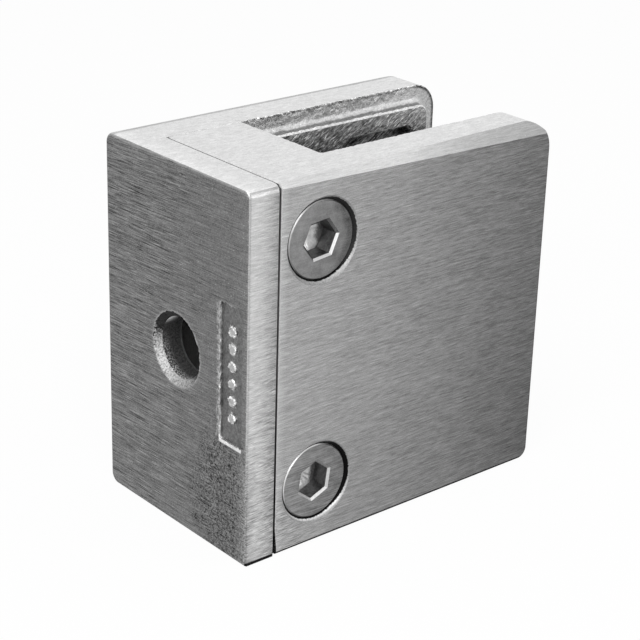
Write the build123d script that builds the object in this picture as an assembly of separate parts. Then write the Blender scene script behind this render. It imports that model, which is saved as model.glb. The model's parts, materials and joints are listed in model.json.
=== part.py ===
from build123d import *
import os

# A square clamp with a flat back that holds the edge of a glass panel on a post.
# The origin is the centre of the mounting hole, in the mounting face. +X runs along
# that hole into the clamp and on to the open end of the glass slot, +Y runs from the
# front jaw to the back jaw, and +Z is up. Sizes are in millimetres.

# Overall sizes
width = 46.0
height = 45.0
depth = 26.7

# End wall, jaws and the block behind the front jaw
end_wall = 4.25
front_jaw = 5.9
back_jaw = 6.15
slot_floor = 14.8
seam_gap = 0.25
joint_gap = 0.04
slot_root_radius = 0.4

# Rounded and broken outer edges
top_end_radius = 3.5
bottom_end_radius = 1.4
back_edge_radius = 1.3
end_wall_top_radius = 0.9
face_edge_radius = 0.4
seam_chamfer = 0.13

# Ground bevel along the top edge of the front jaw, wider towards the open end
bevel_at_seam = 0.6
bevel_at_end = 1.6

# Mounting hole, its chamfer and the seat of the bolt head behind it
bore_from_front = 13.0
bore_diameter = 7.5
bore_chamfer = 0.75
bolt_seat_diameter = 15.0
bolt_seat_depth = 0.75

# Room for the bolt head inside the block, open towards the back jaw
head_pocket_width = 15.0
head_pocket_web = 3.8
head_pocket_chamfer = 0.6

# Sunk strip on the mounting face, with a row of plain foundry pips
strip_from_front = 0.8
strip_width = 4.05
strip_length = 16.7
strip_above_middle = 0.35
strip_depth = 0.35
strip_corner_radius = 0.5
pip_count = 6
pip_pitch = 2.1
pip_diameter = 1.3
pip_height = 0.22
pip_chamfer = 0.1

# Raised seat for the gasket on the inner face of each jaw
seat_rise = 1.4
seat_draft = 6.0
seat_margin = 2.1
seat_corner_radius = 1.6
seat_root_radius = 0.7
seat_chamfer = 0.2

# Pocket in the seat that takes the tongue of the gasket
tongue_rail = 2.6
tongue_width = 11.6
tongue_depth = 2.2
tongue_corner_radius = 1.5
tongue_chamfer = 0.3

# Screws with a small countersunk head and a hexagon socket
thread_diameter = 6.0
screw_length = 25.0
screw_hole_diameter = 6.4
screw_hole_wall = 1.15
screw_from_edge = 7.65
countersink_diameter = 10.3
head_sink = 0.35
running_clearance = 0.05
head_edge = 0.15
tip_chamfer = 0.7
socket_flats = 4.0
socket_depth = 2.4
socket_chamfer = 0.25
drill_point = 0.6
upper_socket_turn = 6.0
lower_socket_turn = 22.0
tapped_end_room = 0.4
tapped_mouth = 0.4

# Places worked out from the sizes
front_y = -bore_from_front
back_y = front_y + depth
front_seat_y = front_y + front_jaw
back_seat_y = back_y - back_jaw
block_x = end_wall + seam_gap
block_y = back_seat_y - joint_gap
half_height = height / 2
screw_x = slot_floor - screw_hole_wall - screw_hole_diameter / 2
screw_z = half_height - screw_from_edge
screw_y = front_y + head_sink
head_pocket_end = slot_floor - head_pocket_web
reach = 2 * max(width, height, depth)
tolerance = 0.001


def edges_within(part, low, high):
    """The edges that lie wholly inside the box between two corners."""
    found = ShapeList()
    for edge in part.edges():
        box = edge.bounding_box()
        ends = zip((box.min.X, box.min.Y, box.min.Z), (box.max.X, box.max.Y, box.max.Z), low, high)
        if all(a >= c - tolerance and b <= d + tolerance for a, b, c, d in ends):
            found.append(edge)
    return found


def soften_seam(half, x, y_end):
    """Breaks the edges of one half that show along the seam beside the end wall."""
    front = edges_within(half, (x, front_y, -half_height), (x, back_y, half_height))
    shown = [
        edge
        for edge in front
        if edge.center().Y < front_y + bevel_at_end
        or abs(edge.center().Z) > half_height - tolerance
        and edge.center().Y < y_end
    ]
    return chamfer(shown, seam_chamfer)


def side_outline(x_start):
    """The clamp's outline seen from the front, rounded at the open end, as a slab."""
    corners = [
        (x_start, -half_height),
        (width, -half_height),
        (width, half_height),
        (x_start, half_height),
    ]
    face = Plane.XZ * make_face(Polyline(*corners, close=True))
    upper = face.vertices().sort_by(Axis.Z)[-2:].sort_by(Axis.X)[-1]
    face = fillet(upper, top_end_radius)
    lower = face.vertices().sort_by(Axis.Z)[:2].sort_by(Axis.X)[-1]
    face = fillet(lower, bottom_end_radius)
    return extrude(face, reach, both=True)


def plan_solid(points):
    """A plan outline carried over the full height."""
    plan = make_face(Polyline(*points, close=True))
    return Pos(0, 0, -half_height) * extrude(plan, height)


def seat_plane(y, facing):
    """A plane on a jaw's inner face. Its x runs with X and its normal leaves the metal."""
    return Plane(origin=(0, y, 0), x_dir=(1, 0, 0), z_dir=(0, facing, 0))


def add_gasket_seat(jaw, y, facing):
    """Raises the drafted seat on a jaw's inner face and sinks the tongue pocket in it."""
    seat_end = width - seat_margin
    seat_start = slot_floor + seat_margin
    seat_high = height - 2 * seat_margin
    tongue_end = seat_end - tongue_rail
    tongue_high = seat_high - 2 * tongue_rail
    plane = seat_plane(y, facing)

    pad = RectangleRounded(seat_end - seat_start, seat_high, seat_corner_radius)
    pad = plane * Pos((seat_start + seat_end) / 2, 0) * pad
    jaw += extrude(pad, seat_rise, dir=plane.z_dir, taper=seat_draft)
    root = edges_within(
        jaw,
        (seat_start, y, -seat_high / 2),
        (seat_end, y, seat_high / 2),
    )
    jaw = fillet(root, seat_root_radius)
    top_y = y + facing * seat_rise
    rim = edges_within(
        jaw,
        (seat_start, top_y, -seat_high / 2),
        (seat_end, top_y, seat_high / 2),
    )
    jaw = chamfer(rim, seat_chamfer)

    floor_y = top_y - facing * tongue_depth
    mouth = RectangleRounded(tongue_width, tongue_high, tongue_corner_radius)
    mouth = seat_plane(top_y, facing) * Pos(tongue_end - tongue_width / 2, 0) * mouth
    jaw -= extrude(mouth, tongue_depth, dir=(0, -facing, 0))
    pocket_rims = edges_within(
        jaw,
        (tongue_end - tongue_width, min(top_y, floor_y), -tongue_high / 2),
        (tongue_end, max(top_y, floor_y), tongue_high / 2),
    ).filter_by_position(Axis.Y, top_y - tolerance, top_y + tolerance)
    return chamfer(pocket_rims, tongue_chamfer)


def bevel_cutter():
    """A wedge whose section grows from the seam to the open end."""
    sections = []
    for x, leg in ((block_x, bevel_at_seam), (width, bevel_at_end)):
        corner = (x, front_y, half_height)
        down = (x, front_y, half_height - leg)
        along = (x, front_y + leg, half_height)
        sections.append(make_face(Polyline(corner, down, along, close=True)))
    return loft(sections, ruled=True)


def bore_cutter():
    """The mounting hole with its chamfer, and the round seat of the bolt head."""
    bore = bore_diameter / 2
    mouth = bore + bore_chamfer
    bolt_seat = bolt_seat_diameter / 2
    seat_x = end_wall - bolt_seat_depth
    profile = [
        (-1, 0),
        (-1, mouth + 1),
        (bore_chamfer, bore),
        (seat_x, bore),
        (seat_x, bolt_seat),
        (end_wall + 1, bolt_seat),
        (end_wall + 1, 0),
    ]
    return revolve(make_face(Polyline(*profile, close=True)), Axis.X)


def sunk_strip():
    """The strip let into the mounting face, and the pips that stand in it."""
    centre = (strip_depth, front_y + strip_from_front + strip_width / 2, strip_above_middle)
    floor = Plane(origin=centre, x_dir=(0, 0, 1), z_dir=(-1, 0, 0))
    outline = RectangleRounded(strip_length, strip_width, strip_corner_radius)
    strip = extrude(floor * outline, strip_depth)
    pip = extrude(Circle(pip_diameter / 2), pip_height)
    pip = chamfer(pip.edges().sort_by(Axis.Z)[-1], pip_chamfer)
    spots = GridLocations(pip_pitch, pip_pitch, pip_count, 1)
    return strip, [floor * spot * pip for spot in spots]


def tapped_hole(z):
    """A blind tapped hole in the back jaw, with a chamfered mouth."""
    radius = thread_diameter / 2
    bottom = screw_y + screw_length + tapped_end_room
    profile = [
        (0, back_seat_y - 1),
        (radius + tapped_mouth + 1, back_seat_y - 1),
        (radius, back_seat_y + tapped_mouth),
        (radius, bottom),
        (0, bottom),
    ]
    hole = revolve(make_face(Polyline(*profile, close=True)), Axis.Y)
    return Pos(screw_x, 0, z) * hole


def screw_hole(z):
    """A countersunk clearance hole through the front jaw and the block."""
    rim = countersink_diameter / 2
    hole = screw_hole_diameter / 2
    profile = [
        (0, front_y - 1),
        (rim + 1, front_y - 1),
        (hole, front_y + rim - hole),
        (hole, block_y + 1),
        (0, block_y + 1),
    ]
    cutter = revolve(make_face(Polyline(*profile, close=True)), Axis.Y)
    return Pos(screw_x, 0, z) * cutter


def head_pocket():
    """The U-shaped room for the bolt head, open to the end wall and the back jaw."""
    radius = head_pocket_width / 2
    plane = Plane(origin=(block_x - 1, 0, 0), x_dir=(0, 1, 0), z_dir=(1, 0, 0))
    outline = Circle(radius) + Pos(reach / 2, 0) * Rectangle(reach, head_pocket_width)
    room = extrude(plane * outline, head_pocket_end - block_x + 1)
    floor_edges = room.edges().filter_by_position(
        Axis.X, head_pocket_end - tolerance, head_pocket_end + tolerance
    )
    far_edge = floor_edges.sort_by(Axis.Y)[-1]
    return chamfer([e for e in floor_edges if e is not far_edge], head_pocket_chamfer)


def make_back_half():
    """End wall and back jaw, cast in one piece."""
    half = plan_solid(
        [
            (0, front_y),
            (end_wall, front_y),
            (end_wall, back_seat_y),
            (width, back_seat_y),
            (width, back_y),
            (0, back_y),
        ]
    )
    half &= side_outline(0)
    far = edges_within(half, (0, back_y, half_height), (width, back_y, half_height))
    low = edges_within(half, (0, back_y, -half_height), (width, back_y, -half_height))
    half = fillet(far + low, back_edge_radius)
    crown = edges_within(half, (0, front_y, half_height), (end_wall, front_y, half_height))
    half = fillet(crown, end_wall_top_radius)
    near = edges_within(half, (0, front_y, -half_height), (0, front_y, half_height))
    half = fillet(near, face_edge_radius)
    half = soften_seam(half, end_wall, back_seat_y)

    half = add_gasket_seat(half, back_seat_y, -1)
    half -= bore_cutter()
    strip, pips = sunk_strip()
    half = half - strip + pips
    for z in (screw_z, -screw_z):
        half -= tapped_hole(z)
    return half


def make_front_half():
    """Front jaw and the block that closes the slot, cast in one piece."""
    half = plan_solid(
        [
            (block_x, front_y),
            (width, front_y),
            (width, front_seat_y),
            (slot_floor, front_seat_y),
            (slot_floor, block_y),
            (block_x, block_y),
        ]
    )
    half &= side_outline(block_x)
    root = edges_within(
        half,
        (slot_floor, front_seat_y, -half_height),
        (slot_floor, front_seat_y, half_height),
    )
    half = fillet(root, slot_root_radius)
    face_rim = edges_within(
        half,
        (block_x, front_y, -half_height),
        (width, front_y, half_height),
    ).filter_by_position(Axis.X, block_x + tolerance, width)
    half = fillet(face_rim, face_edge_radius)
    half -= bevel_cutter()
    half = soften_seam(half, block_x, block_y)

    half = add_gasket_seat(half, front_seat_y, 1)
    half -= head_pocket()
    for z in (screw_z, -screw_z):
        half -= screw_hole(z)
    return half


def make_screw(z, turn):
    """One screw in its seat, with its socket turned from the X axis."""
    head = countersink_diameter / 2 - head_sink - running_clearance
    shank = thread_diameter / 2 - running_clearance
    profile = [
        (0, 0),
        (head - 2 * head_edge, 0),
        (head - head_edge, head_edge),
        (shank, head - shank),
        (shank, screw_length - tip_chamfer),
        (shank - tip_chamfer, screw_length),
        (0, screw_length),
    ]
    screw = revolve(make_face(Polyline(*profile, close=True)), Axis.Y)
    mouth = Plane(origin=(0, 0, 0), x_dir=(1, 0, 0), z_dir=(0, -1, 0))
    socket = RegularPolygon(socket_flats / 2, 6, major_radius=False, rotation=turn)
    screw -= extrude(mouth * socket, socket_depth, dir=(0, 1, 0))
    screw = chamfer(screw.edges().filter_by(GeomType.LINE).group_by(Axis.Y)[0], socket_chamfer)
    point = [(0, 0), (socket_flats / 2, 0), (0, drill_point)]
    screw -= Pos(0, socket_depth, 0) * revolve(make_face(Polyline(*point, close=True)), Axis.Y)
    return Pos(screw_x, screw_y, z) * screw


nodes = {
    "back_half": make_back_half(),
    "front_half": make_front_half(),
    "upper_screw": make_screw(screw_z, upper_socket_turn),
    "lower_screw": make_screw(-screw_z, lower_socket_turn),
}

os.makedirs("parts", exist_ok=True)
for name, solid in nodes.items():
    export_step(solid, f"parts/{name}.step")
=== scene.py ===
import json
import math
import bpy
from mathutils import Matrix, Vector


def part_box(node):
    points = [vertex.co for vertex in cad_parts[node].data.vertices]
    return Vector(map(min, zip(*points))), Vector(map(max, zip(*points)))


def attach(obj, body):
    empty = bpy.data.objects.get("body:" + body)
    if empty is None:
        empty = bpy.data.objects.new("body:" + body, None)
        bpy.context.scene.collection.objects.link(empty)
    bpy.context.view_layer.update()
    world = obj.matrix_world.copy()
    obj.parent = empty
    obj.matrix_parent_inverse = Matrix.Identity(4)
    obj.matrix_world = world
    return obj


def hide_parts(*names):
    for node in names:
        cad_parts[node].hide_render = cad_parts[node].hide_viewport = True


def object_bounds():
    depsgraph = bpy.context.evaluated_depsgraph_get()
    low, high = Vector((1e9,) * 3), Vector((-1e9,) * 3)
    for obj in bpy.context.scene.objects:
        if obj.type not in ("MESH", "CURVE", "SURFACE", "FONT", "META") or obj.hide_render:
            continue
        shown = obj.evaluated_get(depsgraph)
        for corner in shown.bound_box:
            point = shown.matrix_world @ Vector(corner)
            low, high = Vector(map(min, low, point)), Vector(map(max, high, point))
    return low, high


bl_info = {
    "name": "Glass Panel Clamp",
    "version": (1, 0, 0),
    "blender": (4, 5, 0),
    "location": "View3D > Sidebar > Panel Clamp",
    "description": "Dresses the castings and screws of a glass panel clamp",
    "category": "Add Mesh",
}

import bmesh
import bpy
from bpy.props import FloatProperty, FloatVectorProperty, IntProperty, PointerProperty
from mathutils import Matrix, Vector
from mathutils.kdtree import KDTree

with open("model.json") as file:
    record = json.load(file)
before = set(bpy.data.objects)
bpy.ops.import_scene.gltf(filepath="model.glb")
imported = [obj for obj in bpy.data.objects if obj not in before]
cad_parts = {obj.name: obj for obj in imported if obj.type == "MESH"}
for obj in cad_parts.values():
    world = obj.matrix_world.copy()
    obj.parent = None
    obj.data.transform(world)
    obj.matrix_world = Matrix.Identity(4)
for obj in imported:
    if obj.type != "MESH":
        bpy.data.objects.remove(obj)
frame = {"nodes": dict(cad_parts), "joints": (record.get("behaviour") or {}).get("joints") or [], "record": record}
cad_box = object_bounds()

MM = 0.001
EPSILON = 0.005 * MM

# Places read from the frame
part_low, part_high = cad_box
record = frame["record"]
mounts = {mount["name"]: mount for mount in record["mounts"]}
openings = {opening["name"]: opening["box_m"] for opening in record["physics"]["openings"]}
hinges = [joint for joint in frame["joints"] if joint["type"] == "hinge"]
screw_places = [Vector(joint["pos_m"]) for joint in hinges]
bore_radius = mounts["mounting_hole"]["dims"]["r_mm"] * MM
front_seat_y = mounts["front_gasket_seat"]["pos_m"][1]
back_seat_y = mounts["back_gasket_seat"]["pos_m"][1]
block_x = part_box("front_half")[0].x
joint_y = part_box("front_half")[1].y

# Sizes that tell the finishes apart
SLOT_MARGIN = 0.1 * MM
slot_x = openings["glass_slot"][0][0] - SLOT_MARGIN
POCKET_DEPTH = 2.4 * MM
POCKET_LOW = Vector((29.6, -9.0, -17.9)) * MM
POCKET_HIGH = Vector((41.4, 9.0, 17.9)) * MM
OUTER_MARGIN = 1.75 * MM
BORE_CHAMFER = 0.75 * MM
COUNTERSINK_RADIUS = 5.2 * MM
STRIP_SIDE_MARGIN = 0.45 * MM
STRIP_END_MARGIN = 0.6 * MM
SEAM_GAP = 0.25 * MM
TOP_END_RADIUS = 3.5 * MM
BACK_EDGE_RADIUS = 1.3 * MM
STRIP_LOW = Vector((0.02, -12.4, -8.6)) * MM
STRIP_HIGH = Vector((0.6, -7.7, 9.3)) * MM
SOCKET_RADIUS = 3.0 * MM
SOCKET_CHAMFER = 0.25 * MM
SOCKET_REACH = 3.2 * MM
THREAD_ROOT = 2.4 * MM

# Least part of a normal along an axis, from a flat face to one that only faces that way
FLAT = 0.99
SEAM_FLATNESS = 0.9
SEAT_FLATNESS = 0.8
OUTER_FACING = 0.35
FACING = 0.3

# Angles between faces, and distances at which corners are one
COPLANAR_ANGLE = math.radians(0.5)
SHARP_ANGLE = math.radians(32)
TORN_ANGLE = math.radians(35)
SCREW_SHARP_ANGLE = math.radians(28)
MERGE_DISTANCE = 0.001 * MM
THREAD_MERGE_DISTANCE = 0.002 * MM

CAST_FINISHES = (
    "ground",
    "brushed",
    "mounting",
    "cast",
    "seat",
    "sunk",
    "bore",
    "chamfer",
    "countersink",
    "seam",
)
SCREW_FINISHES = ("head", "socket", "mouth", "thread")
SLOT_FINISHES = {"cast", "seat"}
OUTER_FINISHES = {"ground", "brushed", "mounting", "countersink"}

# Vector steps that give a number, and the draw of the noises
NUMBER_RESULTS = {"DOT_PRODUCT", "DISTANCE"}
SEED_STEPS = (1.7, 3.1, 5.3)
NOISE_ROUGHNESS = 0.6


def plain_number(name, description, default, **kind):
    """A number, of a kind that sets how Blender shows it."""
    return FloatProperty(name=name, description=description, default=default, **kind)


def length(name, description, default):
    """A size in metres."""
    kind = {"min": 0.0, "precision": 5, "subtype": "DISTANCE", "unit": "LENGTH"}
    return plain_number(name, description, default, **kind)


def fraction(name, description, default):
    """A share from 0 to 1."""
    return plain_number(name, description, default, min=0.0, max=1.0, subtype="FACTOR")


def view_angle(name, description, degrees):
    """An angle, given in degrees."""
    return plain_number(name, description, math.radians(degrees), subtype="ANGLE", unit="ROTATION")


def lamp_power(name, description, watts):
    """The power of a lamp."""
    return plain_number(name, description, watts, subtype="POWER", unit="POWER")


def location(name, description, default):
    """A place, or the way to one, in metres."""
    return FloatVectorProperty(
        name=name,
        description=description,
        default=default,
        precision=5,
        subtype="TRANSLATION",
        unit="LENGTH",
        size=3,
    )


def grey(name, description, tone):
    """A neutral colour."""
    return FloatVectorProperty(
        name=name,
        description=description,
        default=(tone, tone, tone),
        min=0.0,
        max=1.0,
        subtype="COLOR",
        size=3,
    )


class ClampCastingSizes(bpy.types.PropertyGroup):
    """How finely the cast surfaces are cut up, and how rough they are."""

    first_cells: length("First cells", "Side of the even grid that is cut first", 1.0 * MM)
    cells: length("Cells", "Longest edge that the rough surfaces keep", 0.3 * MM)
    rim_cells: length("Rim cells", "Longest edge near the rims and on the marks", 0.16 * MM)
    rim_reach: length("Rim reach", "How far in from the outer faces the finer cells go", 1.1 * MM)
    relief: length("Relief", "Height of the grain of the cast skin", 0.22 * MM)
    grain: length("Grain", "Width of the grain of the cast skin", 0.9 * MM)
    torn_edge: length("Torn edge", "How far the rims of the cast surfaces wander", 0.6 * MM)
    torn_width: length("Torn width", "Distance from a rim over which it fades out", 0.4 * MM)
    calm_end: length("Calm end", "Distance from the open end at which the relief fades, gone by half", 5 * MM)
    front_share: fraction("Front share", "Share of the torn edge that the cleaner front half has", 0.4)
    seed: IntProperty(
        name="Seed",
        description="Number that the grain is drawn from",
        default=11,
    )


class ClampSteelTones(bpy.types.PropertyGroup):
    """Colour of each finish of the steel."""

    # The pale top, the middle front and the dark mounting face differ partly by finish and partly as painted light
    # from above and painted shade.
    ground: grey("Ground", "Pale ground top and bottom", 0.7)
    brushed: grey("Brushed", "Front, back and open end", 0.3)
    mounting: grey("Mounting", "Coarsely ground mounting face", 0.18)
    cast: grey("Cast", "Rough inner faces of the jaws", 0.58)
    seat: grey("Gasket rest", "Rough gasket seats and their pockets", 0.3)
    sunk: grey("Sunk", "Strip let into the mounting face", 0.15)
    bore: grey("Bore", "Wall of the mounting hole and the room behind it", 0.25)
    chamfer: grey("Chamfer", "Chamfer of the mounting hole", 0.32)
    countersink: grey("Countersink", "Countersinks round the screws", 0.32)
    seam: grey("Seam", "Sides of the gap between the end wall and the block", 0.3)
    head: grey("Head", "Heads of the screws", 0.22)
    socket: grey("Socket", "Walls of the hexagon sockets", 0.55)
    # The brightness on the mouth's lower right side is a painted highlight.
    mouth: grey("Mouth", "Worn chamfer round each socket", 0.35)
    thread: grey("Thread", "Cones and threads of the screws", 0.3)


class ClampScrewSizes(bpy.types.PropertyGroup):
    """Sizes of the thread on the screws."""

    shank_radius: length("Shank radius", "Radius over the crests of the thread", 2.95 * MM)
    pitch: length("Pitch", "Distance from one turn of the thread to the next", 1.0 * MM)
    depth: length("Depth", "Depth of the thread", 0.56 * MM)
    thread_start: length("Thread start", "Distance from the head's face to the first turn", 2.2 * MM)
    tip_length: length("Tip length", "Length of the plain chamfered tip", 0.75 * MM)
    sides: IntProperty(
        name="Sides",
        description="Number of faces round the thread",
        default=48,
        min=12,
    )


class ClampStageSizes(bpy.types.PropertyGroup):
    """Camera, lamps, floor and card."""

    camera_place: location(
        "Camera place",
        "Where the camera stands",
        (-112.258 * MM, -155.128 * MM, 84.739 * MM),
    )
    camera_azimuth: view_angle("Camera azimuth", "Turn of the view from +Y towards +X", 40.7671)
    camera_elevation: view_angle("Camera elevation", "Angle of the view above the horizon", -22.8951)
    camera_roll: view_angle("Camera roll", "Turn of the picture about the view", 1.7244)
    camera_lens: plain_number(
        "Camera lens",
        "Focal length in millimetres on a 36 mm sensor",
        103.088,
        subtype="DISTANCE_CAMERA",
        unit="CAMERA",
    )
    floor_side: length("Floor side", "Side of the floor", 6.0)
    floor_tone: grey("Floor tone", "Colour of the floor", 0.95)
    floor_white: fraction("Floor white", "Share of pure white in the floor where it is seen", 0.94)
    surround: plain_number("Surround", "Strength of the soft light from all round", 0.5)
    key_way: location("Key way", "Way from the clamp to the key lamp, up and left", (-0.36, -0.3, 0.46))
    key_side: length("Key side", "Side of the square key lamp", 0.5)
    key_power: lamp_power("Key power", "Power of the key lamp", 3.0)
    side_way: location("Side way", "Way from the clamp to the side lamp in front", (0.29, -0.42, 0.06))
    side_width: length("Side width", "Width of the tall side lamp", 0.1)
    side_height: length("Side height", "Height of the tall side lamp", 0.4)
    side_power: lamp_power("Side power", "Power of the side lamp", 0.6)
    card_depth: fraction("Card depth", "How dark the card looks in reflections", 0.9)
    card_fade: length("Card fade", "Width over which the card gets dark", 50 * MM)
    card_width: length("Card width", "Whole width of the card", 500 * MM)
    card_reach: length("Card reach", "How far the card runs in front of the clamp", 700 * MM)
    card_rise: length("Card rise", "Height of the card above the floor", 0.2 * MM)


def add_node(tree, kind, inputs=None, **settings):
    """Adds a node. An input is a value, or the socket that feeds it."""
    node = tree.nodes.new(kind)
    for name, value in settings.items():
        setattr(node, name, value)
    for name, value in (inputs or {}).items():
        if isinstance(value, bpy.types.NodeSocket):
            tree.links.new(value, node.inputs[name])
        else:
            node.inputs[name].default_value = value
    return node


def add_math(tree, operation, *values, clamp=False):
    """One step of arithmetic on numbers or sockets."""
    inputs = dict(enumerate(values))
    node = add_node(tree, "ShaderNodeMath", inputs, operation=operation, use_clamp=clamp)
    return node.outputs[0]


def add_vector_math(tree, operation, *values, **named):
    """One step of arithmetic on vectors, where a scale is given by its name."""
    inputs = {**dict(enumerate(values)), **named}
    outputs = add_node(tree, "ShaderNodeVectorMath", inputs, operation=operation).outputs
    return outputs["Value" if operation in NUMBER_RESULTS else "Vector"]


class Steel:
    """A steel material in the making, with the noises and masks that its tone is mixed from."""

    def __init__(self, name, anisotropy=0.0):
        quarter_turn = 0.25
        self.material = bpy.data.materials.new(name)
        self.material.use_nodes = True
        self.tree = self.material.node_tree
        self.shader = self.tree.nodes["Principled BSDF"]
        self.shader.inputs["Metallic"].default_value = 1.0
        self.shader.inputs["Anisotropic"].default_value = anisotropy
        self.shader.inputs["Anisotropic Rotation"].default_value = quarter_turn if anisotropy else 0.0
        coordinates = add_node(self.tree, "ShaderNodeTexCoord").outputs
        self.place = coordinates["Object"]
        self.normal = coordinates["Normal"]
        self.x, self.y, self.z = add_node(self.tree, "ShaderNodeSeparateXYZ", {0: self.place}).outputs
        self.torn = add_node(self.tree, "ShaderNodeAttribute", attribute_name="torn").outputs["Fac"]
        # How far the surface faces up; the materials add it to their tone as painted light and shade from above.
        self.up = self.math("MAXIMUM", self.lean(0, 0, 1), 0.0)

    def math(self, operation, *values):
        """One step of arithmetic."""
        return add_math(self.tree, operation, *values)

    def vector(self, operation, *values, **named):
        """One step of arithmetic on vectors."""
        return add_vector_math(self.tree, operation, *values, **named)

    def times(self, first, *others):
        """The product of masks, noises or numbers."""
        product = first
        for value in others:
            product = self.math("MULTIPLY", product, value)
        return product

    # The materials use how a face leans to paint light and shade on it.
    def lean(self, x, y, z):
        """How far the surface leans towards a direction."""
        return self.vector("DOT_PRODUCT", self.normal, (x, y, z))

    def noise(self, seed, size, detail=3.0, tilt=None):
        """Noise from 0 to 1. Its grain has one size in mm, or one along each axis, and may tilt."""
        place = self.place
        if tilt:
            axis, degrees = tilt
            turn = {"Vector": place, "Angle": math.radians(degrees)}
            place = add_node(self.tree, "ShaderNodeVectorRotate", turn, rotation_type=axis).outputs[0]
        sides = size if isinstance(size, tuple) else (size, size, size)
        scale = tuple(1 / (side * MM) for side in sides)
        offset = tuple(seed * step for step in SEED_STEPS)
        mapped = {"Vector": place, "Scale": scale, "Location": offset}
        place = add_node(self.tree, "ShaderNodeMapping", mapped).outputs[0]
        kind = {"Scale": 1.0, "Detail": detail, "Roughness": NOISE_ROUGHNESS}
        return add_node(self.tree, "ShaderNodeTexNoise", {"Vector": place, **kind}).outputs[0]

    def slope(self, value, start, end):
        """0 up to start, 1 from end, and a straight slope between, in either direction."""
        return add_node(self.tree, "ShaderNodeMapRange", {0: value, 1: start, 2: end}).outputs[0]

    def band(self, value, start, rise, fall, end):
        """1 between rise and fall, 0 outside start and end, and straight slopes between."""
        return self.times(self.slope(value, start, rise), self.slope(value, end, fall))

    # The materials darken this edge as a painted shadow where the clamp meets the floor.
    def foot(self):
        """1 on the rounded lower edge of the clamp, and 0 above it."""
        return self.slope(self.z, part_low.z + 0.42 * MM, part_low.z + 0.3 * MM)

    def on_lower_screw(self):
        """1 round the lower screw, and 0 round the upper one."""
        return self.slope(self.z, 1 * MM, -1 * MM)

    def mix(self, centre, *layers):
        """Adds layers to a centre. Each has an amount, and a middle where that isn't 0."""
        total = centre
        for layer, amount, *middle in layers:
            swing = self.math("SUBTRACT", layer, *(middle or [0.0]))
            total = self.math("ADD", total, self.times(swing, amount))
        return total

    def finish(self, colour, tone, roughness, height, relief):
        """Feeds the shader with a varied tone, a roughness and a bump of a real height."""
        darkest = 0.02
        tinted = self.vector("SCALE", tuple(colour), Scale=self.math("MAXIMUM", tone, darkest))
        bump = {"Height": height, "Distance": relief, "Strength": 1.0}
        bumped = add_node(self.tree, "ShaderNodeBump", bump).outputs[0]
        self.tree.links.new(tinted, self.shader.inputs["Base Color"])
        self.tree.links.new(roughness, self.shader.inputs["Roughness"])
        self.tree.links.new(bumped, self.shader.inputs["Normal"])
        return self.material


def ground_steel(colour):
    """Pale ground top and bottom, with a broken bright line where the block meets the back jaw, a painted
    highlight along the mounting edge and painted shade along the far top edge and the front foot.
    """
    steel = Steel("Ground steel")
    lines = steel.noise(1, (1.6, 0.2, 0.2))
    mottle = steel.noise(2, (0.8, 0.5, 0.5))
    grit = steel.noise(3, 0.16, detail=4)
    # Painted highlight on the rounded edge towards the mounting face.
    edge = steel.slope(steel.x, 2.4 * MM, 0.4 * MM)
    back_edge = part_high.y - BACK_EDGE_RADIUS
    # Painted shade: a dark line along the far top edge.
    painted_back_edge_shade = steel.slope(steel.y, back_edge - 0.45 * MM, back_edge - 0.2 * MM)
    # Painted shadow along the lower front edge.
    foot = steel.times(steel.foot(), steel.slope(steel.lean(0, -1, 0), 0.1, 0.3))
    wander = steel.times(steel.noise(4, 0.5), 0.3 * MM)
    across = steel.math("ADD", steel.math("SUBTRACT", steel.y, joint_y + 0.15 * MM), wander)
    off_joint = steel.math("ABSOLUTE", across)
    dashes = steel.times(
        steel.slope(off_joint, 0.13 * MM, 0.04 * MM),
        steel.slope(steel.x, block_x, block_x + 0.4 * MM),
        steel.slope(steel.noise(5, (0.6, 2, 2)), 0.46, 0.54),
    )
    tone = steel.mix(
        1.0,
        (lines, 0.5, 0.5),
        (mottle, 0.3, 0.5),
        (grit, 0.6, 0.5),
        (edge, 0.09),
        (dashes, 0.5),
        (painted_back_edge_shade, -0.32),
        (foot, -2.2),
    )
    roughness = steel.mix(0.55, (mottle, 0.3, 0.5))
    return steel.finish(colour, tone, roughness, lines, 0.01 * MM)


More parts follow.
